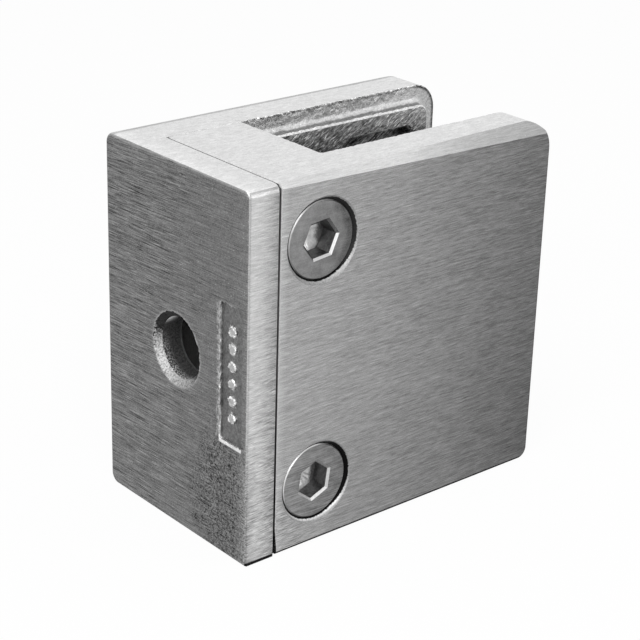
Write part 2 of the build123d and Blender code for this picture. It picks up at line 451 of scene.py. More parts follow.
def brushed_steel(colour):
    """Faces brushed along X and coarser on the end wall, with a painted highlight on and near the end wall,
    painted shade towards the open end, the seam, the rounded corner and the foot, and painted light where faces
    turn up.
    """
    steel = Steel("Brushed steel", 0.75)
    streaks = steel.noise(6, (2.6, 0.13, 0.13))
    fine = steel.noise(7, (1.1, 0.09, 0.09), detail=2, tilt=("Y_AXIS", 3))
    broad = steel.noise(8, (14, 1.1, 1.1))
    grit = steel.noise(9, 0.13, detail=3)
    scratch = steel.slope(steel.noise(10, (3.5, 0.1, 0.11), detail=1, tilt=("Y_AXIS", -2)), 0.62, 0.74)
    speck = steel.slope(steel.noise(11, (0.3, 0.2, 0.2), detail=1), 0.76, 0.82)
    # Painted highlight, strongest by the mounting edge and fading towards the seam.
    near = steel.math("POWER", steel.slope(steel.x, 4.6 * MM, 0.8 * MM), 0.8)
    # Darker low down, as painted shade.
    low = steel.slope(steel.z, -5 * MM, -14 * MM)
    at_front = steel.slope(steel.y, 0.0, -5 * MM)
    on_wall = steel.times(steel.slope(steel.x, block_x, block_x - 0.3 * MM), at_front)
    beside = steel.times(
        steel.slope(steel.x, 14 * MM, block_x),
        steel.slope(steel.z, -8 * MM, -18 * MM),
        at_front,
    )
    lower = steel.slope(steel.z, 8 * MM, -12 * MM)
    worked = steel.times(on_wall, steel.mix(0.4, (lower, 0.6)))
    worked = steel.math("MAXIMUM", worked, beside)
    rough = steel.noise(40, (1.3, 0.12, 0.13), detail=3, tilt=("Y_AXIS", 3))
    cuts = steel.slope(steel.noise(41, (1.0, 0.12, 0.1), detail=1, tilt=("Y_AXIS", 3)), 0.6, 0.74)
    coarse = steel.times(worked, steel.math("SUBTRACT", rough, 0.5))
    bright_cuts = steel.times(worked, cuts)
    # Painted shade on the rounded corner by the mounting face, deeper low down.
    corner = steel.slope(steel.x, 0.5 * MM, 0.15 * MM)
    rolled = steel.times(low, steel.slope(steel.x, 1.5 * MM, 0))
    # Painted shade on the end wall towards the seam.
    to_seam = steel.times(on_wall, steel.slope(steel.x, 2.0 * MM, 4.2 * MM))
    # Painted highlight along the block's edge beside the seam.
    lip = steel.band(steel.x, block_x - 0.2 * MM, block_x, block_x + 0.1 * MM, block_x + 1.1 * MM)
    lip = steel.times(lip, at_front)
    # Painted shade: a dark wedge in the seam, widening towards the foot.
    off_seam = steel.math("ABSOLUTE", steel.math("SUBTRACT", steel.x, block_x - SEAM_GAP / 2))
    spread = steel.times(steel.slope(steel.z, -17 * MM, part_low.z), 0.32 * MM)
    wedge = steel.times(steel.math("LESS_THAN", off_seam, spread), at_front)
    # Painted shade, darkening towards the open end.
    away = steel.slope(steel.x, block_x, part_high.x)
    # Painted light where the faces turn up, held back on the end wall's top edge and stronger on the bevel beside
    # it.
    crest = steel.slope(steel.up, 0.35, 0.6)
    crest_on_wall = steel.times(crest, on_wall)
    crest_beside = steel.times(crest, steel.slope(steel.x, part_high.x, block_x))
    tone = steel.mix(
        1.07,
        (streaks, 1.2, 0.5),
        (fine, 0.9, 0.5),
        (broad, 0.2, 0.5),
        (grit, 0.8, 0.5),
        (coarse, 2.4),
        (bright_cuts, 0.85),
        (scratch, 0.35),
        (speck, 0.6),
        (near, 0.5),
        (rolled, -0.55),
        (corner, -0.22),
        (to_seam, -0.32),
        (lip, 0.22),
        (away, -0.3),
        (low, -0.06),
        # Painted light where the faces turn up.
        (steel.up, 1.0),
        (crest_on_wall, -0.85),
        (crest_beside, 0.55),
        (wedge, -1.5),
        # Painted shadow along the foot.
        (steel.foot(), -2.2),
    )
    roughness = steel.mix(0.46, (streaks, 0.2, 0.5))
    return steel.finish(colour, tone, roughness, streaks, 0.012 * MM)


def mounting_steel(colour):
    """The mounting face, coarsely ground along Y, pitted low down and brighter round the strip, with painted
    highlights along its near edge and below the strip and painted light where it faces up.
    """
    steel = Steel("Mounting steel", 0.5)
    far = steel.slope(steel.y, -9 * MM, 6 * MM)
    reach = steel.mix(0.45, (far, 0.75))
    lines = steel.noise(12, (0.2, 3.4, 0.09), detail=2, tilt=("X_AXIS", 2.5))
    long_lines = steel.noise(13, (0.2, 11, 0.12), detail=2, tilt=("X_AXIS", 1))
    bright = steel.slope(steel.noise(14, (0.2, 2.6, 0.08), detail=1, tilt=("X_AXIS", 3.5)), 0.62, 0.74)
    dark = steel.slope(steel.noise(15, (0.2, 4, 0.08), detail=1, tilt=("X_AXIS", -1)), 0.62, 0.74)
    grit = steel.noise(16, (0.14, 0.17, 0.14), detail=4)
    glint = steel.slope(steel.noise(34, (0.2, 0.32, 0.16), detail=1), 0.68, 0.78)
    blotch = steel.noise(17, (1.3, 1.6, 1.3))
    smears = steel.noise(43, (0.5, 0.45, 0.6), detail=3)
    drag = steel.times(steel.math("SUBTRACT", lines, 0.5), reach)
    scores = steel.times(steel.math("SUBTRACT", bright, dark), reach)
    flat = steel.vector("MULTIPLY", steel.place, (0, 1, 0.6))
    distance = steel.vector("DISTANCE", flat, (0, -9 * MM, -9.5 * MM))
    distance = steel.mix(distance, (blotch, 9 * MM, 0.5))
    patch = steel.slope(distance, 7 * MM, 3.8 * MM)
    dots = steel.noise(18, (0.2, 0.24, 0.2), detail=2)
    pits = steel.times(patch, steel.math("SUBTRACT", dots, 0.56))
    strip_high_y = STRIP_HIGH.y - STRIP_SIDE_MARGIN
    strip_low_z = STRIP_LOW.z + STRIP_END_MARGIN
    off_front = steel.slope(steel.y, STRIP_LOW.y + 1.0 * MM, STRIP_LOW.y + 2.5 * MM)
    brightening = steel.times(steel.torn, grit, off_front)
    grains = steel.slope(steel.noise(42, (0.25, 0.3, 0.3), detail=3), 0.44, 0.6)
    middle_z = (STRIP_LOW.z + STRIP_HIGH.z) / 2
    off_middle = steel.math("ABSOLUTE", steel.math("SUBTRACT", steel.z, middle_z))
    half_length = (STRIP_HIGH.z - STRIP_LOW.z) / 2 - STRIP_END_MARGIN
    beside = steel.slope(off_middle, half_length + 0.1 * MM, half_length - 0.2 * MM)
    border = steel.slope(steel.y, strip_high_y + 0.7 * MM, strip_high_y + 0.4 * MM)
    border = steel.times(border, beside, grains, off_front)
    # Painted highlight: a bright bar below the strip's lower end.
    along = steel.band(
        steel.y,
        STRIP_LOW.y + 0.2 * MM,
        STRIP_LOW.y + 0.3 * MM,
        strip_high_y,
        strip_high_y + 0.1 * MM,
    )
    below = steel.band(
        steel.z,
        strip_low_z - 0.4 * MM,
        strip_low_z - 0.32 * MM,
        strip_low_z + 0.3 * MM,
        strip_low_z + 0.5 * MM,
    )
    sill = steel.times(along, below)
    # Painted highlight along the near edge, wider low down.
    low = steel.slope(steel.z, -5 * MM, -13 * MM)
    near = steel.times(steel.slope(steel.y, -11 * MM, -13 * MM), steel.mix(0.12, (low, 0.55)))
    tone = steel.mix(
        1.0,
        (drag, 2.7),
        (long_lines, 0.9, 0.5),
        (scores, 0.95),
        (grit, 2.1, 0.5),
        (glint, 1.1),
        (blotch, 0.4, 0.5),
        (smears, 0.5, 0.5),
        (pits, 4.2),
        (brightening, 2.2),
        (border, 1.3),
        (sill, 3.2),
        (near, 1.0),
        # Painted light where the face turns up.
        (steel.up, 1.8),
    )
    roughness = steel.mix(0.48, (grit, 0.3, 0.5))
    height = steel.mix(0.5, (drag, 0.6), (grit, 0.7, 0.5), (pits, 1.6), (scores, 0.3))
    return steel.finish(colour, tone, roughness, height, 0.035 * MM)


def cast_steel(colour):
    """Rough cast skin of the jaws, with painted highlights on the torn rims and on the fillets that turn up, and
    painted shade under the top rims, on the flat ledges and along the round end.
    """
    steel = Steel("Cast steel")
    grit = steel.noise(19, 0.22, detail=5)
    drag = steel.noise(20, (0.9, 0.25, 0.25), detail=3, tilt=("Y_AXIS", 40))
    patches = steel.noise(21, (1.8, 1.8, 1.2))
    shreds = steel.slope(steel.noise(35, (0.35, 0.2, 0.2), detail=3), 0.4, 0.62)
    off_middle = steel.math("ABSOLUTE", steel.z)
    at_top = steel.slope(off_middle, part_high.z - 0.9 * MM, part_high.z - 0.3 * MM)
    # Painted highlight on the torn rims, strongest at the top.
    rim = steel.times(steel.slope(steel.torn, 0.15, 0.5), shreds, steel.mix(0.08, (at_top, 0.92)))
    # Painted shade just under the top rims.
    under_rim = steel.times(steel.slope(steel.torn, 0.0, 0.12), at_top)
    by_seat = steel.slope(steel.math("ABSOLUTE", steel.y), 6.7 * MM, 6.4 * MM)
    # Painted highlight on the fillets that turn up, stronger by the seats.
    corner = steel.times(
        steel.band(steel.up, 0.25, 0.5, 0.85, 0.97),
        steel.mix(0.3, (by_seat, 0.5)),
        steel.mix(0.25, (shreds, 0.9)),
    )
    # Painted shade on the flat ledges that face up.
    ledge = steel.slope(steel.up, 0.85, 0.97)
    # Painted shade: a dark line along the round open end.
    round_end = (part_high.x - TOP_END_RADIUS, 0, part_high.z - TOP_END_RADIUS)
    outwards = steel.vector("SUBTRACT", steel.place, round_end)
    outwards = steel.vector("MAXIMUM", outwards, (0, 0, 0))
    outwards = steel.vector("MULTIPLY", outwards, (1, 0, 1))
    from_round = steel.vector("DISTANCE", outwards, (0, 0, 0))
    outline = steel.times(
        steel.slope(from_round, TOP_END_RADIUS - 0.5 * MM, TOP_END_RADIUS - 0.2 * MM),
        steel.slope(steel.x, part_high.x - 4.2 * MM, part_high.x - 2.8 * MM),
    )
    tone = steel.mix(
        0.95,
        (grit, 1.0, 0.5),
        (drag, 0.6, 0.5),
        (patches, 0.3, 0.5),
        (rim, 1.7),
        (under_rim, -0.45),
        (corner, 0.35),
        (ledge, -0.45),
        (outline, -0.75),
    )
    roughness = steel.mix(0.5, (grit, 0.3, 0.5))
    height = steel.mix(0.5, (grit, 0.9, 0.5), (drag, 0.5, 0.5))
    return steel.finish(colour, tone, roughness, height, 0.075 * MM)


def seat_steel(colour):
    """Gasket seats drawn out into slanting ridges, painted dark as shade deep in the slot, with painted light near
    their torn ends.
    """
    steel = Steel("Gasket rest steel")
    lumps = steel.noise(22, 0.5, detail=4)
    drag = steel.noise(36, (1.3, 0.3, 0.24), detail=2, tilt=("Y_AXIS", 29))
    ridges = steel.slope(steel.noise(44, (1.1, 0.3, 0.2), detail=1, tilt=("Y_AXIS", 33)), 0.55, 0.72)
    glint = steel.slope(steel.noise(23, (0.3, 0.3, 0.22), detail=3), 0.56, 0.7)
    rim = steel.times(steel.torn, steel.mix(0.3, (glint, 1.0)))
    # Painted light reaching in near the open top and bottom.
    shallow = steel.slope(steel.math("ABSOLUTE", steel.z), 16.5 * MM, 20.2 * MM)
    inside_x = steel.slope(steel.x, slot_x + 6 * MM, slot_x + 26 * MM)
    light = steel.times(shallow, steel.mix(0.5, (inside_x, 0.5)))
    # A low centre tone: painted shade deep in the slot.
    tone = steel.mix(
        0.38,
        (light, 0.85),
        (lumps, 1.6, 0.5),
        (drag, 2.6, 0.5),
        (ridges, 1.1),
        (glint, 0.5),
        (rim, 0.8),
    )
    roughness = steel.mix(0.5, (lumps, 0.3, 0.5))
    height = steel.mix(0.5, (lumps, 0.6, 0.5), (drag, 1.0, 0.5), (ridges, 0.3))
    return steel.finish(colour, tone, roughness, height, 0.22 * MM)


def sunk_steel(colour):
    """The strip in the mounting face, brighter on its pips and its back side, with painted light on the faces that
    turn up, such as its lower end, and painted shade on those that turn down.
    """
    steel = Steel("Sunk steel")
    grit = steel.noise(24, 0.22, detail=5)
    off_front = steel.slope(steel.y, STRIP_LOW.y + 0.6 * MM, STRIP_LOW.y + 1.2 * MM)
    below_top = steel.slope(steel.z, STRIP_HIGH.z - 0.3 * MM, STRIP_HIGH.z - 0.8 * MM)
    open_side = steel.times(off_front, below_top)
    proud = steel.times(steel.slope(steel.x, 0.28 * MM, 0.14 * MM), open_side)
    rim = steel.times(steel.torn, steel.slope(grit, 0.36, 0.6), open_side)
    # Painted light on the faces that turn up and forward, such as the strip's lower end.
    painted_light_facing_up = steel.slope(steel.lean(-0.2, -0.6, 1), 0.35, 0.8)
    shaded = steel.slope(steel.lean(0, 0.4, -1), 0.3, 0.8)
    mottle = steel.noise(46, 0.6)
    tone = steel.mix(
        1.12,
        (grit, 2.4, 0.5),
        (mottle, 1.2, 0.5),
        (rim, 1.8),
        (proud, 2.0),
        (painted_light_facing_up, 2.6),
        (shaded, -0.9),
    )
    roughness = steel.mix(0.45, (grit, 0.3, 0.5))
    return steel.finish(colour, tone, roughness, grit, 0.1 * MM)


def bore_steel(colour):
    """The granular wall of the mounting hole and the room behind it, with painted light on the lower wall near the
    mouth, at the top of the mouth and in the room behind.
    """
    steel = Steel("Bore steel")
    grit = steel.noise(25, 0.2, detail=4)
    grains = steel.slope(steel.noise(37, 0.17, detail=2), 0.46, 0.62)
    lower = steel.slope(steel.lean(0, -0.35, 1), 0.1, 0.9)
    mouth = steel.slope(steel.x, 2.0 * MM, 0.8 * MM)
    # Painted light in grains on the lower wall near the mouth.
    painted_light_on_lower_wall = steel.times(lower, mouth, grains)
    # Painted light at the top of the mouth.
    upper = steel.slope(steel.lean(0, -0.3, -1), 0.75, 0.95)
    lip = steel.times(upper, steel.slope(steel.x, 2.6 * MM, 1.2 * MM))
    # Painted light in the room behind the hole.
    behind = steel.slope(steel.x, 3.2 * MM, 4.0 * MM)
    tone = steel.mix(
        0.42,
        (grit, 1.3, 0.5),
        (behind, 1.4),
        (painted_light_on_lower_wall, 3.2),
        (lip, 3.6),
    )
    roughness = steel.mix(0.85, (grit, 0.2, 0.5))
    return steel.finish(colour, tone, roughness, grit, 0.08 * MM)


def chamfer_steel(colour):
    """The chamfer of the mounting hole, painted dark as shade, with painted light in ragged patches on its lower
    and back sides.
    """
    steel = Steel("Chamfer steel")
    grit = steel.noise(26, 0.22, detail=4)
    shreds = steel.slope(steel.noise(38, 0.2, detail=3), 0.36, 0.56)
    # Painted light on the sides that face up and forward, over a dark centre tone that is painted shade.
    painted_light_lower_side = steel.slope(steel.mix(steel.lean(0, -0.45, 0.9), (grit, 0.5, 0.5)), 0.1, 0.42)
    bright = steel.times(painted_light_lower_side, shreds)
    tone = steel.mix(0.12, (grit, 0.5, 0.5), (painted_light_lower_side, 0.6), (bright, 0.95))
    roughness = steel.mix(0.6, (grit, 0.3, 0.5))
    return steel.finish(colour, tone, roughness, grit, 0.06 * MM)


def countersink_steel(colour):
    """Countersinks painted black as shade, with a lip at the face, narrow on its right, and a painted highlight on
    its lower side.
    """
    steel = Steel("Countersink steel")
    grit = steel.noise(27, 0.2, detail=3)
    lower = steel.on_lower_screw()
    under = steel.slope(steel.lean(0, 0, 1), 0.1, 0.5)
    right = steel.slope(steel.lean(-1, 0, -0.3), 0.15, 0.5)
    narrow = steel.times(right, steel.mix(0.09, (lower, 0.03)))
    lip_depth = steel.mix(
        0.26 * MM,
        (under, 0.09 * MM),
        (narrow, -1 * MM),
        (grit, 0.16 * MM, 0.5),
    )
    depth = steel.math("SUBTRACT", steel.y, part_low.y)
    above_edge = steel.math("SUBTRACT", lip_depth, depth)
    lip = steel.slope(above_edge, -0.02 * MM, 0.03 * MM)
    # Painted highlight on the lower side of the lip, stronger on the lower screw.
    brightening = steel.times(
        steel.slope(above_edge, 0.24 * MM, 0.12 * MM),
        lip,
        under,
        steel.mix(0.2, (lower, 0.6)),
    )
    # A little painted light on the right side of the upper countersink.
    painted_light_right_side = steel.times(right, steel.math("SUBTRACT", 1.0, lower))
    # A black centre tone: painted shade in the deep gap round the head.
    tone = steel.mix(0.02, (lip, 1.0), (brightening, 1.0), (painted_light_right_side, 0.07))
    tone = steel.times(tone, steel.mix(1.0, (grit, 1.6, 0.5)))
    roughness = steel.mix(0.6, (grit, 0.2, 0.5))
    return steel.finish(colour, tone, roughness, grit, 0.02 * MM)


def seam_steel(colour):
    """The sides of the gap beside the end wall, with painted shade that turns black towards the foot."""
    steel = Steel("Seam steel")
    grit = steel.noise(45, (0.3, 0.3, 0.6), detail=3)
    # Painted shade, lifting towards the top.
    less_shade_upwards = steel.slope(steel.z, -16 * MM, 4 * MM)
    tone = steel.mix(0.3, (less_shade_upwards, 1.6), (grit, 0.4, 0.5))
    roughness = steel.mix(0.5, (grit, 0.3, 0.5))
    return steel.finish(colour, tone, roughness, grit, 0.02 * MM)


def head_steel(colour):
    """Screw heads brushed over with the face, the lower one more, and mottled, with painted light round the rim, a
    painted highlight on the rim's upper left side and painted shade towards the right.
    """
    steel = Steel("Screw head steel", 0.4)
    lines = steel.noise(28, (2.6, 0.16, 0.14), detail=2)
    mottle = steel.noise(29, 1.2)
    grit = steel.noise(30, 0.14)
    face = screw_places[0]
    lower = steel.on_lower_screw()
    # Painted light all round the rim.
    rim = steel.slope(steel.y, face.y + 0.02 * MM, face.y + 0.06 * MM)
    # Painted highlight on the rim where it faces up and left, stronger on the lower screw.
    brightening = steel.slope(steel.lean(-1, 0, 1), 0.0, 0.7)
    brightening = steel.times(rim, brightening, steel.mix(0.45, (lower, 0.55)))
    brushing = steel.times(lower, steel.math("SUBTRACT", lines, 0.5))
    # Painted shade, darker towards the right, and deeper near the right rim of the upper head.
    across = steel.slope(steel.x, face.x - 4 * MM, face.x + 4 * MM)
    level = steel.vector("ABSOLUTE", steel.place)
    level = steel.vector("MULTIPLY", level, (1, 0, 1))
    radius = steel.vector("DISTANCE", level, (face.x, 0, abs(face.z)))
    shade = steel.times(
        steel.slope(radius, 3.2 * MM, 3.9 * MM),
        steel.slope(steel.x, face.x + 1 * MM, face.x + 3 * MM),
        steel.math("SUBTRACT", 1.0, lower),
    )
    tone = steel.mix(
        1.0,
        (lines, 0.4, 0.5),
        (brushing, 1.5),
        (mottle, 0.9, 0.5),
        (grit, 0.7, 0.5),
        (across, -0.25, 0.5),
        (shade, -0.35),
        (rim, 0.35),
        (brightening, 2.2),
    )
    roughness = steel.mix(0.4, (mottle, 0.25, 0.5))
    return steel.finish(colour, tone, roughness, lines, 0.008 * MM)


def socket_steel(colour):
    """Dark walls of the hexagon sockets, and their floor, with painted light on it apart from its right side."""
    steel = Steel("Socket steel")
    grit = steel.noise(31, 0.25, detail=4)
    mottle = steel.noise(39, 0.7)
    floor = steel.slope(steel.lean(0, -1, 0), 0.5, 0.9)
    across = steel.mix(steel.math("SUBTRACT", steel.x, screw_places[0].x), (mottle, 1.2 * MM, 0.5))
    # Painted light on the socket floor, kept off its shaded right side.
    pale = steel.times(floor, steel.slope(across, 1.5 * MM, 1.1 * MM))
    tone = steel.mix(0.32, (grit, 0.5, 0.5), (mottle, 0.5, 0.5), (pale, 1.15))
    roughness = steel.mix(0.42, (grit, 0.3, 0.5))
    return steel.finish(colour, tone, roughness, grit, 0.03 * MM)


def mouth_steel(colour):
    """The chamfer round each socket, with a painted highlight on its lower right side."""
    steel = Steel("Socket mouth steel")
    grit = steel.noise(32, 0.25, detail=4)
    lower = steel.on_lower_screw()
    # Painted highlight on the side that faces up and left, wider on the lower screw.
    facing = steel.mix(steel.lean(-1, 0, 1), (lower, 0.62))
    brightening = steel.slope(facing, 0.3, 0.75)
    tone = steel.mix(0.35, (grit, 0.9, 0.5), (brightening, 1.3))
    roughness = steel.mix(0.42, (grit, 0.3, 0.5))
    return steel.finish(colour, tone, roughness, grit, 0.02 * MM)


def thread_steel(colour):
    """Cones and threads of the screws."""
    steel = Steel("Thread steel")
    grit = steel.noise(33, 0.25, detail=4)
    tone = steel.mix(1.0, (grit, 0.9, 0.5))
    roughness = steel.mix(0.42, (grit, 0.3, 0.5))
    return steel.finish(colour, tone, roughness, grit, 0.03 * MM)


MAKERS = {
    "ground": ground_steel,
    "brushed": brushed_steel,
    "mounting": mounting_steel,
    "cast": cast_steel,
    "seat": seat_steel,
    "sunk": sunk_steel,
    "bore": bore_steel,
    "chamfer": chamfer_steel,
    "countersink": countersink_steel,
    "seam": seam_steel,
    "head": head_steel,
    "socket": socket_steel,
    "mouth": mouth_steel,
    "thread": thread_steel,
}
made_steels = {}


def steel_materials(finishes):
    """One material for each named finish, made once for the whole clamp."""
    tones = bpy.context.scene.clamp_tones
    for name in finishes:
        if name not in made_steels:
            made_steels[name] = MAKERS[name](getattr(tones, name))
    return [made_steels[name] for name in finishes]


def new_tree(name, sockets):
    """A geometry tree with one geometry input, the named inputs and one geometry output."""
    tree = bpy.data.node_groups.new(name, "GeometryNodeTree")
    tree.interface.new_socket("Geometry", in_out="INPUT", socket_type="NodeSocketGeometry")
    for title, kind in sockets.items():
        tree.interface.new_socket(title, in_out="INPUT", socket_type=kind)
    tree.interface.new_socket("Geometry", in_out="OUTPUT", socket_type="NodeSocketGeometry")
    return tree, tree.nodes.new("NodeGroupInput").outputs


def named_value(tree, name, data_type):
    """A value stored on the mesh under a name."""
    node = add_node(tree, "GeometryNodeInputNamedAttribute", {"Name": name}, data_type=data_type)
    return node.outputs[0]


def end_tree(tree, geometry, materials):
    """Ends a tree with real geometry and one material for each finish number."""
    geometry = add_node(tree, "GeometryNodeRealizeInstances", {"Geometry": geometry}).outputs[0]
    finish = named_value(tree, "finish", "INT")
    for number, material in enumerate(materials):
        chosen = add_math(tree, "COMPARE", finish, float(number), 0.5)
        inputs = {"Geometry": geometry, "Selection": chosen, "Material": material}
        geometry = add_node(tree, "GeometryNodeSetMaterial", inputs).outputs[0]
    end = tree.nodes.new("NodeGroupOutput")
    tree.links.new(geometry, end.inputs[0])


def relief_tree(materials):
    """Pushes the cast surfaces in and out along their free way and tears their rims."""
    sockets = {
        "Relief": "NodeSocketFloat",
        "Grain": "NodeSocketFloat",
        "Torn edge": "NodeSocketFloat",
        "Seed": "NodeSocketInt",
        "Lowest": "NodeSocketVector",
        "Highest": "NodeSocketVector",
    }
    tree, given = new_tree("Cast relief", sockets)
    cast = named_value(tree, "cast", "FLOAT")
    torn = named_value(tree, "torn", "FLOAT")
    way = named_value(tree, "way", "FLOAT_VECTOR")
    frequency = add_math(tree, "DIVIDE", 1.0, given["Grain"])

    def swing(share, detail):
        """Noise from -1 to 1 at a share of the grain."""
        scale = add_math(tree, "DIVIDE", frequency, share)
        kind = {"Scale": scale, "Detail": detail, "Roughness": NOISE_ROUGHNESS}
        inputs = {"W": given["Seed"], **kind}
        noise = add_node(tree, "ShaderNodeTexNoise", inputs, noise_dimensions="4D")
        return add_math(tree, "MULTIPLY_ADD", noise.outputs[0], 2.0, -1.0)

    skin = add_math(tree, "MULTIPLY", swing(1.0, 3.0), given["Relief"])
    skin = add_math(tree, "MULTIPLY", skin, cast)
    rim = add_math(tree, "MULTIPLY", swing(0.5, 4.0), given["Torn edge"])
    push = add_math(tree, "MULTIPLY_ADD", rim, torn, skin)

    position = tree.nodes.new("GeometryNodeInputPosition").outputs[0]
    offset = add_vector_math(tree, "SCALE", way, Scale=push)
    place = add_vector_math(tree, "ADD", position, offset)
    place = add_vector_math(tree, "MAXIMUM", place, given["Lowest"])
    place = add_vector_math(tree, "MINIMUM", place, given["Highest"])
    moving = {"Geometry": given["Geometry"], "Position": place}
    moved = add_node(tree, "GeometryNodeSetPosition", moving)
    end_tree(tree, moved.outputs[0], materials)
    return tree


def thread_tree(material):
    """Winds a grid round the Y axis as a right-hand thread with flat crests and roots.

    The profile lists where in a turn the crest starts and ends, and where the root does.
    """
    sockets = {
        "Radius": "NodeSocketFloat",
        "Depth": "NodeSocketFloat",
        "Pitch": "NodeSocketFloat",
        "Start": "NodeSocketFloat",
        "End": "NodeSocketFloat",
        "Sides": "NodeSocketInt",
    }
    profile = (0.0, 0.125, 0.4375, 0.6875)
    points = float(len(profile))
    tree, given = new_tree("Screw thread", sockets)

    def step(operation, *values, clamp=False):
        """One step of arithmetic."""
        return add_math(tree, operation, *values, clamp=clamp)

    reach = step("SUBTRACT", given["End"], given["Start"])
    turns = step("CEIL", step("DIVIDE", reach, given["Pitch"]))
    rows = step("MULTIPLY", step("ADD", turns, 1.0), points)
    corners = {
        "Size X": 1.0,
        "Size Y": 1.0,
        "Vertices X": step("ADD", given["Sides"], 1.0),
        "Vertices Y": step("ADD", rows, 1.0),
    }
    grid = add_node(tree, "GeometryNodeMeshGrid", corners)
    position = tree.nodes.new("GeometryNodeInputPosition").outputs[0]
    spot = add_node(tree, "ShaderNodeSeparateXYZ", {0: position}).outputs
    around = step("ADD", spot[0], 0.5)
    row = step("ROUND", step("MULTIPLY", step("ADD", spot[1], 0.5), rows))
    turn = step("FLOOR", step("DIVIDE", step("ADD", row, 0.5), points))
    corner = step("ROUND", step("MULTIPLY_ADD", turn, -points, row))
    share = add_node(tree, "GeometryNodeIndexSwitch", data_type="FLOAT")
    while len(share.index_switch_items) < len(profile):
        share.index_switch_items.new()
    tree.links.new(corner, share.inputs[0])
    for number, value in enumerate(profile):
        share.inputs[number + 1].default_value = value
    wound = step("ADD", step("ADD", turn, share.outputs[0]), step("SUBTRACT", around, 1.0))
    along = step("MULTIPLY_ADD", wound, given["Pitch"], given["Start"])
    along = step("MAXIMUM", step("MINIMUM", along, given["End"]), given["Start"])
    from_start = step("DIVIDE", step("SUBTRACT", along, given["Start"]), given["Pitch"])
    from_end = step("DIVIDE", step("SUBTRACT", given["End"], along), given["Pitch"])
    fade = step("MINIMUM", from_start, from_end, clamp=True)
    in_root = step("GREATER_THAN", corner, 1.5)
    cut = step("MULTIPLY", step("MULTIPLY", given["Depth"], fade), in_root)
    radius = step("SUBTRACT", given["Radius"], cut)
    angle = step("MULTIPLY", around, -2 * math.pi)
    place = {
        0: step("MULTIPLY", radius, step("COSINE", angle)),
        1: along,
        2: step("MULTIPLY", radius, step("SINE", angle)),
    }
    place = add_node(tree, "ShaderNodeCombineXYZ", place).outputs[0]
    wrapping = {"Geometry": grid.outputs[0], "Position": place}
    wrapped = add_node(tree, "GeometryNodeSetPosition", wrapping)
    closing = {"Geometry": wrapped.outputs[0], "Distance": THREAD_MERGE_DISTANCE}
    merged = add_node(tree, "GeometryNodeMergeByDistance", closing)
    end_tree(tree, merged.outputs[0], [material])
    return tree


def add_tree(piece, tree, values):
    """Puts a geometry tree on a piece, with its inputs set by name."""
    modifier = piece.modifiers.new(tree.name, "NODES")
    modifier.node_group = tree
    for socket in tree.interface.items_tree:
        if socket.in_out == "INPUT" and socket.name in values:
            modifier[socket.identifier] = values[socket.name]


def make_plain(piece):
    """Turns what the modifiers make into the piece's own mesh, and takes them off."""
    graph = bpy.context.evaluated_depsgraph_get()
    made = bpy.data.meshes.new_from_object(
        piece.evaluated_get(graph), preserve_all_data_layers=True, depsgraph=graph
    )
    made.name = piece.name
    piece.modifiers.clear()
    piece.data = made


def new_piece(name, mesh):
    """An object at the origin for a bmesh, linked to the scene."""
    data = bpy.data.meshes.new(name)
    mesh.to_mesh(data)
    mesh.free()
    piece = bpy.data.objects.new(name, data)
    bpy.context.scene.collection.objects.link(piece)
    return piece


def even_shading(piece):
    """Weights the piece's normals by area, so that its flats shade flat."""
    weighted = piece.modifiers.new("Even shading", "WEIGHTED_NORMAL")
    weighted.keep_sharp = True


def copy_node(name):
    """A copy of a node's mesh with its corners merged and its flat faces made whole."""
    mesh = bmesh.new()
    mesh.from_mesh(frame["nodes"][name].data)
    bmesh.ops.remove_doubles(mesh, verts=mesh.verts, dist=MERGE_DISTANCE)
    bmesh.ops.dissolve_limit(
        mesh,
        angle_limit=COPLANAR_ANGLE,
        verts=mesh.verts,
        edges=mesh.edges,
    )
    return mesh


def bisect(mesh, faces, axis, at):
    """Cuts faces by a plane across an axis, and returns what they became."""
    normal = Vector((0, 0, 0))
    normal[axis] = 1
    edges = {edge for face in faces for edge in face.edges}
    verts = {vert for face in faces for vert in face.verts}
    cut = bmesh.ops.bisect_plane(
        mesh,
        geom=[*faces, *edges, *verts],
        dist=EPSILON / 10,
        plane_co=normal * at,
        plane_no=normal,
    )
    return [item for item in cut["geom"] if isinstance(item, bmesh.types.BMFace)]


def cut_grid(mesh, faces, low, high, side):
    """Cuts faces by evenly spaced planes across each axis, from one corner to the other."""
    for axis in range(3):
        count = max(1, round((high[axis] - low[axis]) / side))
        for number in range(count + 1):
            at = low[axis] + (high[axis] - low[axis]) * number / count
            faces = bisect(mesh, faces, axis, at)


def subdivide(mesh, chosen, longest):
    """Halves the edges of the chosen faces until none is longer than a length."""
    while True:
        faces = [face for face in mesh.faces if chosen(face)]
        crooked = [face for face in faces if len(face.verts) > 4]
        if crooked:
            bmesh.ops.triangulate(mesh, faces=crooked)
            faces = [face for face in mesh.faces if chosen(face)]
        edges = {edge for face in faces for edge in face.edges if edge.calc_length() > longest}
        if not edges:
            return
        bmesh.ops.subdivide_edges(mesh, edges=list(edges), cuts=1, use_grid_fill=True)


def inside(point, low, high):
    """Whether a point lies in a box."""
    return all(a <= value <= b for value, a, b in zip(point, low, high))


def outer_axis(centre, normal):
    """The axis and side of the outer face that a face belongs to, or None."""
    found = None
    steepest = OUTER_FACING
    for axis in range(3):
        side = 1 if normal[axis] > 0 else -1
        limit = part_high[axis] if side > 0 else part_low[axis]
        if abs(centre[axis] - limit) < OUTER_MARGIN and abs(normal[axis]) > steepest:
            found = (axis, side)
            steepest = abs(normal[axis])
    return found


def from_axis(point, screw_place):
    """Distance of a point from the axis of the screw at a place."""
    return math.hypot(point.x - screw_place.x, point.z - screw_place.z)


